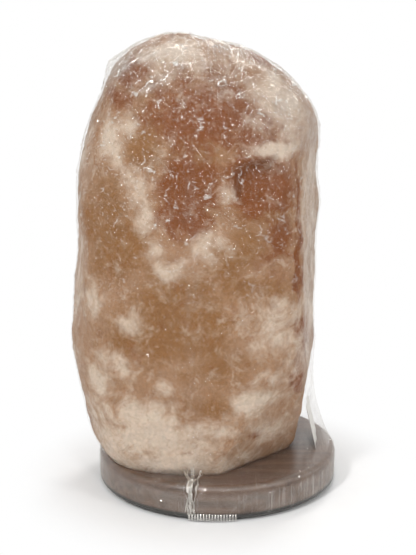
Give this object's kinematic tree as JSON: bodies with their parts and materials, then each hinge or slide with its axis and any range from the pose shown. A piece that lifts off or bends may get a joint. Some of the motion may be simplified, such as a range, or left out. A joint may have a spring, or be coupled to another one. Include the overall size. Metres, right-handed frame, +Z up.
{
  "type": "salt crystal lamp",
  "caption": "Table lamp: a tall hewn block of rock salt on a round wooden base, in clear film, with a bulb in a clip-held screw lampholder in its bore.",
  "frame": {"origin": "on the table, on the axis of the bore through the base", "axes": "+Z up, -Y towards the front, +X to the right"},
  "size_m": [0.1661, 0.1524, 0.2782],
  "materials": {
    "salt": "translucent rock salt, hewn",
    "dark_wood": "dark stained and varnished",
    "pad_rubber": "matt",
    "clear_film": "clear shrink film",
    "blank_paper": "uncoated",
    "zinc_steel": "zinc plated",
    "plug_plastic": "matt",
    "black_plastic": "satin",
    "white_ceramic": "unglazed",
    "brass_sheet": "plain",
    "spring_steel": "bright",
    "bulb_clear": "clear",
    "bulb_metal": "plain",
    "black_glass": "gloss",
    "solder": "dull",
    "filament_metal": "dull"
  },
  "bodies": {
    "root": {"salt_crystal": "salt", "wooden_base": "dark_wood", "foot_pads": "pad_rubber", "crystal_screws": "zinc_steel", "anchor_plugs": "plug_plastic", "shrink_film": "clear_film", "paper_label": "blank_paper"},
    "holder": {"inlet_nipple": "zinc_steel", "nipple_nut": "zinc_steel", "clip_yoke": "spring_steel", "holder_cap": "black_plastic", "holder_body": "black_plastic", "holder_insert": "white_ceramic", "socket_shell": "brass_sheet", "centre_contact": "brass_sheet", "side_contact": "brass_sheet", "terminal_screws": "zinc_steel"},
    "clip_left": {"clip_leaf_left": "spring_steel"},
    "clip_right": {"clip_leaf_right": "spring_steel"},
    "bulb_foot": {"bulb_contact": "solder"},
    "bulb": {"bulb_insulator": "black_glass", "bulb_cap": "bulb_metal", "bulb_glass": "bulb_clear", "bulb_stem": "bulb_clear", "filament_wires": "filament_metal", "bulb_filament": "filament_metal"}
  },
  "joints": [
    {"name": "holder_pull", "type": "slide", "parent": "root", "child": "holder", "axis": [0, 0, -1], "range_m": [0, 0.115]},
    {"name": "clip_left_squeeze", "type": "hinge", "parent": "holder", "child": "clip_left", "pos_m": [-0.01966, 0, 0.0155], "axis": [0, 1, 0], "range_deg": [0, 6], "stiffness_Nm_per_rad": 0.3, "springref_deg": -9.74},
    {"name": "clip_right_squeeze", "type": "hinge", "parent": "holder", "child": "clip_right", "pos_m": [0.01966, 0, 0.0155], "axis": [0, -1, 0], "range_deg": [0, 6], "stiffness_Nm_per_rad": 0.3, "springref_deg": -9.74},
    {"name": "bulb_rise", "type": "slide", "parent": "holder", "child": "bulb_foot", "axis": [0, 0, 1], "range_m": [0, 0.0085]},
    {"name": "bulb_turn", "type": "hinge", "parent": "bulb_foot", "child": "bulb", "pos_m": [0, 0, 0.05], "axis": [0, 0, 1], "range_deg": [0, 1080]}
  ],
  "couplings": [
    {"joint": "bulb_rise", "follows": "bulb_turn", "m_per_rad": 0.00044882}
  ]
}
